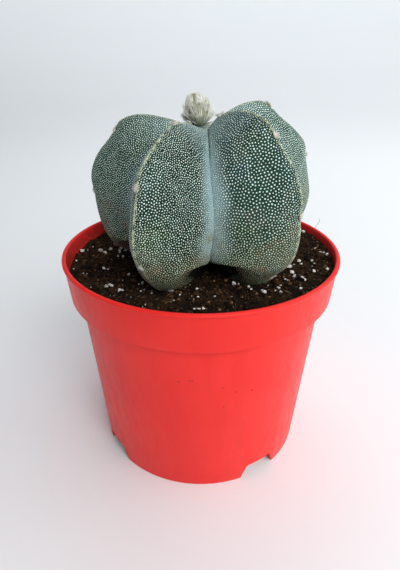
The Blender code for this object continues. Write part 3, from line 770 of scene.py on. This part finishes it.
def fleck_pattern(draw):
    """A low round tuft: a fan of faces about a raised middle, its edge sunk in the skin."""
    bm = bmesh.new()
    bmesh.ops.create_cone(bm, cap_ends=False, segments=FLECK_SIDES, radius1=1.0, radius2=0.0, depth=1.0)
    bmesh.ops.remove_doubles(bm, verts=bm.verts, dist=1e-5)
    for v in bm.verts:
        edge = v.co.z < 0.0
        uneven = draw.uniform(0.82, 1.15) if edge else 1.0
        v.co = (v.co.x * uneven, v.co.y * uneven, -0.25 if edge else 0.75)
    return bm


def fleck_white():
    """Matt felt, from white to the green of the skin by a tone that is partly random and partly painted light and
    shade, olive and brown in places towards the foot.
    """
    mat, shader = new_material("fleck_white", 0.9)
    tone = add_node(mat, "ShaderNodeAttribute", {}, "Fac", attribute_name="tone")
    white = mixed(mat, tone, (0.13, 0.21, 0.165), (0.82, 0.985, 0.90))
    height = add_node(mat, "ShaderNodeSeparateXYZ", {"Vector": own_place(mat)}, "Z")
    low = between(mat, height, 128.0 * MM, 98.0 * MM)
    olive = between(mat, clouds(mat, 12.0 * MM, 3.0, 0.6), 0.3, 0.65, 0.1, 0.75)
    white = mixed(mat, worked(mat, "MULTIPLY", low, olive), white, (0.62, 0.70, 0.42))
    rust = between(mat, clouds(mat, 6.0 * MM, 3.0, 0.6), 0.5, 0.66, 0.0, 0.7)
    white = mixed(mat, worked(mat, "MULTIPLY", low, rust), white, (0.50, 0.42, 0.32))
    mat.node_tree.links.new(white, shader.inputs["Base Color"])
    bumped(mat, shader, clouds(mat, 0.12 * MM, 2.0), 0.05 * MM)
    shader.inputs["Specular IOR Level"].default_value = 0.2
    return mat


draw = random.Random(FLECK_SEED)
darts = fleck_darts(draw)
places = spread(darts, FLECK_SWEEPS)
white = fleck_white()
fleck_kinds = [fleck_pattern(draw) for i in range(6)]
by_rib = [[] for azimuth in RIB_AZIMUTHS]
for place, (start, spacing, descent, painted_flank_light) in zip(places, darts):
    spot, facing, face, distance = skin_tree.find_nearest(place)
    level = spot - PLANT_AXIS
    azimuth = math.atan2(level.x, -level.y)
    rib = min(range(len(by_rib)), key=lambda k: abs(math.remainder(azimuth - RIB_AZIMUTHS[k], math.tau)))
    open_share = min(1.5, (spacing - FLECK_SPACING[0]) / (FLECK_SPACING[1] - FLECK_SPACING[0]))
    radius = (FLECK_RADIUS[0] + (FLECK_RADIUS[1] - FLECK_RADIUS[0]) * open_share) * draw.uniform(0.8, 1.15)
    drawn_out = 1.0 + draw.uniform(0.15, 1.0) * (1.25 - 0.75 * open_share)
    grain = 5.0 * noise.noise(spot / (6.0 * MM)) + draw.gauss(0.0, 0.45)
    turn = turned_to(facing) @ Matrix.Rotation(grain, 3, "Z")
    # Fleck tone: random about its flank's painted light and shade, with painted shade darkening the lowest part of
    # the foot
    tone = draw.gauss(0.52 + 0.5 * painted_flank_light, 0.16) - 0.75 * ease((descent - 0.8) / 0.16)
    by_rib[rib].append((spot, turn, (radius * drawn_out ** 0.6, radius / drawn_out ** 0.5, FLECK_RISE),
                        min(1.0, max(0.0, tone))))
for rib, seats in enumerate(by_rib):
    flecks = scatter(f"flecks_rib_{rib + 1}", seats, fleck_kinds, white)
    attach(flecks, "root")
print("flecks", [len(seats) for seats in by_rib])


# The areoles: felted cushions of wool at the swellings of each ridge, larger and looser near the crown.
WOOL_SEED = 21
AREOLE_RADIUS = 1.35 * MM


def strand_pattern(bend, cuts=3):
    """A tapered hair along +Z, one long, that leans over towards +X."""
    bm = bmesh.new()
    bmesh.ops.create_cone(bm, cap_ends=True, segments=3, radius1=0.5, radius2=0.08, depth=1.0)
    bmesh.ops.translate(bm, vec=(0.0, 0.0, 0.5), verts=bm.verts)
    for i in range(cuts):
        level = Vector((0.0, 0.0, (i + 1) / (cuts + 1)))
        bmesh.ops.bisect_plane(bm, geom=bm.verts[:] + bm.edges[:] + bm.faces[:], plane_co=level,
                               plane_no=(0.0, 0.0, 1.0))
    for v in bm.verts:
        v.co.x += bend * v.co.z ** 2
    return bm


def tuft_pattern(draw):
    """A soft uneven knob."""
    bm = bmesh.new()
    bmesh.ops.create_icosphere(bm, subdivisions=2, radius=1.0)
    shift = Vector((draw.uniform(0, 9), draw.uniform(0, 9), draw.uniform(0, 9)))
    for v in bm.verts:
        v.co *= 1.0 + 0.35 * noise.noise(1.7 * v.co + shift)
    return bm


def areole_wool():
    mat, shader = new_material("areole_wool", 0.95)
    tone = add_node(mat, "ShaderNodeAttribute", {}, "Fac", attribute_name="tone")
    wool = mixed(mat, tone, (0.44, 0.36, 0.26), (0.95, 0.94, 0.89))
    mat.node_tree.links.new(wool, shader.inputs["Base Color"])
    bumped(mat, shader, clouds(mat, 0.15 * MM, 3.0), 0.08 * MM)
    shader.inputs["Specular IOR Level"].default_value = 0.15
    return mat


draw = random.Random(WOOL_SEED)
knobs, hairs = [], []
for rib, azimuth in enumerate(RIB_AZIMUTHS):
    sideways = Vector((0.0, 0.0, 1.0)).cross(outward(azimuth))
    for i in range(AREOLE_COUNT[rib]):
        distance = FIRST_AREOLE[rib] + i * AREOLE_PITCH
        position = position_at(rib, distance)
        above, below = (skin_point(rib, 1, 0.0, position + step) for step in (-0.1, 0.1))
        along = (below - above).normalized()
        facing = along.cross(sideways).normalized()
        centre = 0.5 * (above + below)
        youth = 1.0 - ease((distance - 8.0 * MM) / (60.0 * MM))
        radius = AREOLE_RADIUS * (0.75 + 0.5 * youth) * draw.uniform(0.9, 1.15)
        for k in range(8):
            angle = draw.uniform(0.0, math.tau)
            reach = draw.uniform(0.0, 0.75) * radius
            shift = reach * (math.cos(angle) * along + 0.75 * math.sin(angle) * sideways)
            size = radius * draw.uniform(0.26, 0.5)
            knobs.append((centre + shift - 0.25 * size * facing, turned_to(facing),
                          (size, size, 0.5 * size), min(1.0, max(0.0, draw.gauss(0.6, 0.3)))))
        for k in range(150):
            angle = draw.uniform(0.0, math.tau)
            lift = draw.uniform(0.05, 0.8)
            level = math.cos(angle) * along + 0.8 * math.sin(angle) * sideways
            way = (level + lift * facing).normalized()
            root = centre + draw.uniform(0.1, 0.8) * radius * level + 0.05 * radius * facing
            length = radius * draw.uniform(0.4, 1.1)
            hairs.append((root, turned_to(way, -facing), (0.13 * MM, 0.13 * MM, length),
                          min(1.0, max(0.0, draw.gauss(0.72, 0.25)))))
wool_mat = areole_wool()
for name, seats, patterns in (("areole_cushions", knobs, [tuft_pattern(draw) for i in range(5)]),
                              ("areole_hairs", hairs, [strand_pattern(bend) for bend in (0.1, 0.3, 0.5)])):
    wool = scatter(name, seats, patterns, wool_mat)
    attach(wool, "root")


# The flower bud: an egg of overlapping pointed scales with dark horny tips, wrapped in silky cream
# wool that runs up it, seated in the crown and leaning a little to the left.
BUD_SEED = 5
BUD_SEAT = Vector((-2.8 * MM, 1.2 * MM, 147.0 * MM))
BUD_HEIGHT = 13.2 * MM
BUD_CORE_HEIGHT = 12.3 * MM
BUD_RADIUS = 4.9 * MM
BUD_LEAN = math.radians(-11.0)
BUD_STRANDS = 1500
BUD_TUFTS = 70
BUD_PLACE = Matrix.Translation(PLANT_AXIS + BUD_SEAT) @ Matrix.Rotation(BUD_LEAN, 4, "Y")


def bud_radius(share):
    """The bud's core, a stout egg: its radius at a share of its height."""
    return BUD_RADIUS * math.sin(math.pi * min(1.0, max(0.0, share)) ** 0.8) ** 0.6


def bud_point(azimuth, share):
    radius = bud_radius(share)
    return Vector((radius * math.cos(azimuth), radius * math.sin(azimuth), share * BUD_CORE_HEIGHT))


def bud_ways(azimuth, share):
    """The way up the core and the way out of it, at a place on it."""
    up = (bud_point(azimuth, min(1.0, share + 0.03)) - bud_point(azimuth, max(0.0, share - 0.03))).normalized()
    around = Vector((-math.sin(azimuth), math.cos(azimuth), 0.0))
    return up, around.cross(up).normalized()


def bud_wool():
    mat, shader = new_material("bud_wool", 0.85)
    tone = add_node(mat, "ShaderNodeAttribute", {}, "Fac", attribute_name="tone")
    wool = mixed(mat, tone, (0.20, 0.21, 0.11), (0.97, 0.97, 0.90))
    mat.node_tree.links.new(wool, shader.inputs["Base Color"])
    bumped(mat, shader, clouds(mat, 0.2 * MM, 2.0, 0.5, own_place(mat, (1.0, 1.0, 0.2))), 0.06 * MM)
    shader.inputs["Specular IOR Level"].default_value = 0.2
    return mat


def scale_horn():
    mat, shader = new_material("scale_horn", 0.55)
    tone = add_node(mat, "ShaderNodeAttribute", {}, "Fac", attribute_name="tone")
    horn = mixed(mat, tone, (0.018, 0.014, 0.008), (0.16, 0.15, 0.07))
    mat.node_tree.links.new(horn, shader.inputs["Base Color"])
    return mat


def horn_pattern():
    """A narrow pointed blade along +Z with its flat to +X."""
    bm = bmesh.new()
    bmesh.ops.create_uvsphere(bm, u_segments=6, v_segments=5, radius=0.5)
    bmesh.ops.scale(bm, vec=(0.35, 1.0, 1.0), verts=bm.verts)
    return bm


draw = random.Random(BUD_SEED)
core = bmesh.new()
bmesh.ops.create_uvsphere(core, u_segments=40, v_segments=28, radius=1.0)
tone_layer = core.verts.layers.float.new("tone")
for v in core.verts:
    share = 1.0 - math.acos(max(-1.0, min(1.0, v.co.z))) / math.pi
    azimuth = math.atan2(v.co.y, v.co.x)
    v.co = bud_point(azimuth, share) * (1.0 + 0.03 * noise.noise(Vector((3.0 * azimuth, 5.0 * share, 0.0))))
    v[tone_layer] = 0.12
bmesh.ops.transform(core, matrix=BUD_PLACE, verts=core.verts)
bud_mat = bud_wool()
bud = finished("bud_core", core, bud_mat, 180.0)
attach(bud, "root")
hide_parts("flower_bud")

tufts = []
for i in range(BUD_TUFTS):
    share = 0.02 + 0.86 * ((i + 0.5) / BUD_TUFTS) ** 0.9
    tufts.append((share, i * math.pi * (3.0 - math.sqrt(5.0)) + draw.uniform(-0.25, 0.25),
                  draw.gauss(0.0, 0.2), draw.uniform(0.15, 0.42), draw.gauss(0.0, 0.1)))
strands = []
for i in range(BUD_STRANDS):
    share, azimuth, sway, stand, shade = tufts[i % BUD_TUFTS]
    share = max(0.0, share + draw.uniform(-0.03, 0.03))
    azimuth += draw.gauss(0.0, 0.11)
    up, out = bud_ways(azimuth, share)
    way = (up + (stand + draw.gauss(0.0, 0.05)) * out + (sway + draw.gauss(0.0, 0.08)) * out.cross(up)).normalized()
    root = bud_point(azimuth, share) - 0.1 * MM * out
    length = draw.uniform(2.8, 4.6) * MM * (1.0 - 0.4 * share)
    width = draw.uniform(0.14, 0.32) * MM
    turn = (BUD_PLACE.to_3x3() @ turned_to(way, -out))
    tone = min(1.0, max(0.0, draw.gauss(0.86, 0.12) + shade))
    strands.append((BUD_PLACE @ root, turn, (width, width, length), tone))
wool = scatter("bud_strands", strands, [strand_pattern(bend, 4) for bend in (0.05, 0.15, 0.25, 0.35)], bud_mat)
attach(wool, "root")

tips = []
for i in range(26):
    share = draw.uniform(0.08, 0.62)
    azimuth = draw.choice((draw.uniform(0.0, math.tau), draw.gauss(math.radians(215.0), 0.5)))
    up, out = bud_ways(azimuth, share)
    root = bud_point(azimuth, share) + draw.uniform(0.45, 0.7) * MM * out
    turn = BUD_PLACE.to_3x3() @ turned_to((up + 0.12 * out).normalized(), out)
    width = draw.uniform(0.35, 0.85) * MM
    tips.append((BUD_PLACE @ root, turn, (width, width, draw.uniform(0.9, 2.4) * MM), draw.random() ** 2))
horns = scatter("bud_scale_tips", tips, [horn_pattern()], scale_horn())
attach(horns, "root")


# The potting mix: dark moist peat, crumbly, with brown fibres and white grains of perlite. It fills
# the pot to a few millimetres below the rim, higher at the right and the back.
MIX_LEVEL = 91.0 * MM
MIX_RISE_RIGHT = 0.030
MIX_RISE_BACK = 0.012
MIX_LUMP = 0.9 * MM
LUMP_SPAN = 5.5 * MM
CRUMB_SPAN = 2.6 * MM
CRUMB_SHARE = 0.6
CLEARANCE = 0.3 * MM
MIX_SEED = 31
MIX_EDGE = collar_radius(MIX_LEVEL) - WALL - CLEARANCE
MIX_RING = 0.62 * MM
CRUMBS = 9500
FIBRES = 520


def mix_height(x, y):
    """The surface of the potting mix: higher at the back right, lower at the back left, crumbly."""
    lumps = noise.noise(Vector((x, y, 0.0)) / LUMP_SPAN)
    crumbs = CRUMB_SHARE * noise.noise(Vector((x, y, LUMP_SPAN)) / CRUMB_SPAN)
    return MIX_LEVEL + MIX_RISE_RIGHT * x + MIX_RISE_BACK * y + MIX_LUMP * (lumps + crumbs)


def fine_height(x, y):
    """The same surface with its small crumbs."""
    small = noise.noise(Vector((x, y, 0.0)) / (1.3 * MM)) + 0.5 * noise.noise(Vector((x, y, 1.0)) / (0.65 * MM))
    return mix_height(x, y) + 0.42 * MM * small


def peat():
    mat, shader = new_material("peat", 0.95)
    tone = add_node(mat, "ShaderNodeAttribute", {}, "Fac", attribute_name="tone")
    fine = clouds(mat, 0.9 * MM, 5.0, 0.7)
    mixed_tone = worked(mat, "ADD", tone, worked(mat, "MULTIPLY", worked(mat, "SUBTRACT", fine, 0.5), 0.8))
    dark = mixed(mat, between(mat, mixed_tone, 0.1, 0.65), (0.005, 0.0035, 0.0025), (0.042, 0.022, 0.010))
    dark = mixed(mat, between(mat, mixed_tone, 0.65, 1.15), dark, (0.24, 0.14, 0.07))
    mat.node_tree.links.new(dark, shader.inputs["Base Color"])
    bumped(mat, shader, clouds(mat, 0.35 * MM, 4.0, 0.7), 0.2 * MM)
    shader.inputs["Specular IOR Level"].default_value = 0.1
    return mat


def perlite_white():
    mat, shader = new_material("perlite_white", 0.85)
    pores = clouds(mat, 0.45 * MM, 4.0, 0.7)
    grey = mixed(mat, between(mat, pores, 0.3, 0.6), (0.42, 0.39, 0.35), (0.90, 0.89, 0.86))
    tone = add_node(mat, "ShaderNodeAttribute", {}, "Fac", attribute_name="tone")
    grey = mixed(mat, tone, grey, (0.25, 0.20, 0.16))
    mat.node_tree.links.new(grey, shader.inputs["Base Color"])
    bumped(mat, shader, pores, 0.25 * MM)
    return mat


def shard_pattern(draw, corners):
    """A block with flat broken faces: the hull of a few places in a flattened ball."""
    bm = bmesh.new()
    for i in range(corners):
        way = Vector((draw.gauss(0.0, 1.0), draw.gauss(0.0, 1.0), draw.gauss(0.0, 1.0))).normalized()
        way *= draw.uniform(0.75, 1.1)
        bm.verts.new((way.x, 0.85 * way.y, 0.75 * way.z))
    hull = bmesh.ops.convex_hull(bm, input=bm.verts)
    spare = {g for g in hull["geom_interior"] + hull["geom_unused"] if isinstance(g, bmesh.types.BMVert)}
    bmesh.ops.delete(bm, geom=list(spare), context="VERTS")
    bmesh.ops.recalc_face_normals(bm, faces=bm.faces)
    return bm


def lump_pattern(draw, stretch, roughness):
    """An angular crumb, wider than it is high."""
    bm = bmesh.new()
    bmesh.ops.create_icosphere(bm, subdivisions=1, radius=1.0)
    shift = Vector((draw.uniform(0, 9), draw.uniform(0, 9), draw.uniform(0, 9)))
    for v in bm.verts:
        v.co *= 1.0 + roughness * noise.noise(1.4 * v.co + shift)
        v.co = (v.co.x * stretch[0], v.co.y * stretch[1], v.co.z * stretch[2])
    return bm


side = [(0.0, PLATE_TOP + CLEARANCE),
        (body_radius(PLATE_TOP) - WALL - CLEARANCE, PLATE_TOP + CLEARANCE),
        (body_radius(LEDGE) - WALL - CLEARANCE, LEDGE),
        (collar_radius(LEDGE) - WALL - 2.0 * CLEARANCE, LEDGE + 2.0 * CLEARANCE)]
ring_count = round(MIX_EDGE / MIX_RING)
top = [(MIX_EDGE * (ring_count - i) / ring_count, MIX_LEVEL) for i in range(ring_count + 1)]
plug = turned(side + top, 300)
tone_layer = plug.verts.layers.float.new("tone")
for v in plug.verts:
    if v.co.z > MIX_LEVEL - 0.01 * MM:
        v.co.z = fine_height(v.co.x, v.co.y)
        v[tone_layer] = 0.30 + 0.25 * noise.noise(v.co / (8.0 * MM))
peat_mat = peat()
mix = finished("potting_mix", plug, peat_mat, 60.0)
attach(mix, "root")
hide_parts("soil")


def on_mix(draw, reach=MIX_EDGE - 0.8 * MM):
    """A place at random on the surface that the plant doesn't cover."""
    while True:
        place = reach * math.sqrt(draw.random()) * outward(draw.uniform(0.0, math.tau))
        if (place - PLANT_AXIS).length > 14.0 * MM:
            place.z = fine_height(place.x, place.y)
            return place


draw = random.Random(MIX_SEED)
crumbs = []
for i in range(CRUMBS):
    place = on_mix(draw)
    size = 0.34 * MM * math.exp(draw.gauss(0.0, 0.5))
    turn = Matrix.Rotation(draw.uniform(0.0, math.tau), 3, "Z") @ Matrix.Rotation(draw.uniform(-0.7, 0.7), 3, "X")
    tone = min(1.2, max(0.0, draw.gauss(0.40, 0.3)))
    crumbs.append((place + Vector((0.0, 0.0, 0.25 * size)), turn, (size, size, size), tone))
# A few lie on the pot's front: azimuth in degrees and height in millimetres
for azimuth, height in ((-9.2, 61.6), (-4.3, 62.5), (-3.3, 62.6), (9.3, 58.4), (15.2, 55.3), (22.8, 54.3),
                        (10.2, 48.0)):
    place = body_radius(height * MM) * outward(math.radians(azimuth)) + Vector((0.0, 0.0, height * MM))
    crumbs.append((place, Matrix.Identity(3), (0.3 * MM, 0.15 * MM, 0.3 * MM), 0.1))
crumb_kinds = [lump_pattern(draw, stretch, 0.5) for stretch in
               ((1, 0.9, 0.8), (1.4, 0.8, 0.5), (1, 1, 0.7), (2.6, 0.45, 0.4), (1.2, 0.9, 0.6))]
grains = scatter("peat_crumbs", crumbs, crumb_kinds, peat_mat)
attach(grains, "root")

fibres = []
for i in range(FIBRES):
    place = on_mix(draw)
    level = outward(draw.uniform(0.0, math.tau))
    rise = draw.uniform(-0.05, 0.25)
    length = draw.uniform(1.5, 7.0) * MM
    if (place + length * level).xy.length > MIX_EDGE - 0.5 * MM:
        level = -place.xy.normalized().to_3d()
    way = (level + Vector((0.0, 0.0, rise))).normalized()
    thick = draw.uniform(0.1, 0.26) * MM
    fibres.append((place + Vector((0.0, 0.0, 0.3 * MM)), turned_to(way, Vector((draw.uniform(-1, 1), draw.uniform(-1, 1), -0.2))),
                   (thick, thick, length), min(1.1, max(0.3, draw.gauss(0.82, 0.18)))))
# One stands up by the rim at the back right, from point to point in millimetres
STANDING_ROOT = [Vector(point) * MM for point in
                 ((53.8, 25, 93), (56.1, 25, 94.8), (57.0, 25, 96.7), (57.6, 24.6, 98), (57.4, 24.2, 99.8))]
for start, end in zip(STANDING_ROOT, STANDING_ROOT[1:]):
    fibres.append((start, turned_to(end - start), (0.3 * MM, 0.3 * MM, 1.15 * (end - start).length), 1.0))
litter = scatter("peat_fibres", fibres, [strand_pattern(bend, 6) for bend in (0.1, 0.3, 0.5, -0.3)], peat_mat)
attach(litter, "root")

# Grains whose places the photo shows, as x, y and width in millimetres
SEEN_PERLITE = [
    (13.0, -29.5, 2.8), (15.0, -28.8, 1.2), (18.4, -31.0, 2.0), (19.4, -32.3, 1.6), (24.2, -35.0, 2.3),
    (23.5, -34.1, 1.2), (29.7, -33.7, 2.3), (28.3, -35.2, 1.5), (30.5, -36.1, 1.5), (37.0, -14.5, 2.6),
    (37.6, -18.7, 2.5), (37.8, -22.4, 2.1), (40.5, -25.1, 2.5), (41.5, -26.1, 1.6), (38.4, -34.2, 1.6),
    (31.3, -30.5, 1.2), (42.2, -9.4, 2.2), (42.6, -11.5, 1.7), (47.7, -9.8, 1.8), (52.8, -1.9, 1.8),
    (54.4, -0.9, 1.8), (55.4, -4.3, 1.8), (52.2, -17.8, 1.7), (46.7, -18.4, 1.7), (48.3, -11.8, 1.3),
    (48.0, 24.9, 3.6), (49.9, 23.4, 2.5), (52.0, 4.7, 1.4), (33.6, -25.6, 1.2), (34.3, -26.5, 1.2),
    (11.7, -38.1, 0.8), (26.2, -31.1, 0.8), (-54.6, 6.9, 2.9), (-46.1, 6.3, 2.4), (-44.1, 5.6, 1.9),
    (-41.8, -10.1, 1.8), (-39.7, -12.2, 1.3), (-47.4, -16.4, 1.7), (-49.4, -15.8, 0.9), (-37.5, -28.3, 2.0),
    (-36.4, -26.7, 2.0), (-35.4, -27.6, 1.6), (-31.6, -31.9, 2.4), (-30.6, -30.3, 2.0), (-33.4, -35.0, 0.8),
    (-39.3, 13.3, 2.4), (-35.1, 7.3, 2.3), (-37.7, 7.4, 1.4), (-34.9, 0.7, 1.8), (-37.4, 0.8, 1.4),
    (-30.2, -17.4, 2.1), (-23.2, -26.6, 2.0), (-21.9, -30.8, 1.6), (-23.3, -32.4, 1.2), (-24.5, -27.4, 1.2),
    (-12.0, -32.6, 2.3), (-10.8, -33.0, 1.2), (-8.0, -37.1, 1.1), (-20.3, -43.1, 1.1), (-0.7, -46.3, 2.2),
    (0.7, -47.0, 2.2), (-2.2, -46.2, 1.5), (-1.5, -31.9, 1.6), (-3.4, -36.6, 1.1), (-1.1, -37.5, 1.1),
    (5.3, -37.8, 1.1), (-55.4, -3.0, 1.4), (-54.6, -11.1, 0.9), (-10.1, -40.0, 1.1), (-15.4, -29.5, 0.8),
    (-18.8, -35.0, 1.2), (-26.5, -37.6, 0.8), (-43.7, -28.0, 0.8), (-31.7, -22.7, 0.8)]
perlite = []
spots = [(x * MM, y * MM, 0.5 * width * MM) for x, y, width in SEEN_PERLITE]
for i in range(60):
    place = on_mix(draw, 54.0 * MM)
    if place.y > 4.0 * MM:
        spots.append((place.x, place.y, draw.uniform(0.5, 1.5) * MM))
for i in range(150):
    place = on_mix(draw)
    spots.append((place.x, place.y, 0.2 * MM * math.exp(draw.gauss(0.0, 0.4))))
for x, y, radius in spots:
    turn = Matrix.Rotation(draw.uniform(0.0, math.tau), 3, "Z") @ Matrix.Rotation(draw.uniform(-0.5, 0.5), 3, "X")
    perlite.append((Vector((x, y, fine_height(x, y) + 0.45 * radius)), turn, (radius, radius, radius),
                    0.5 * draw.random() ** 3))
perlite_kinds = [shard_pattern(draw, corners) for corners in (12, 16, 14, 20, 13, 18)]
stones = scatter("perlite_grains", perlite, perlite_kinds, perlite_white(), smooth=False)
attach(stones, "root")
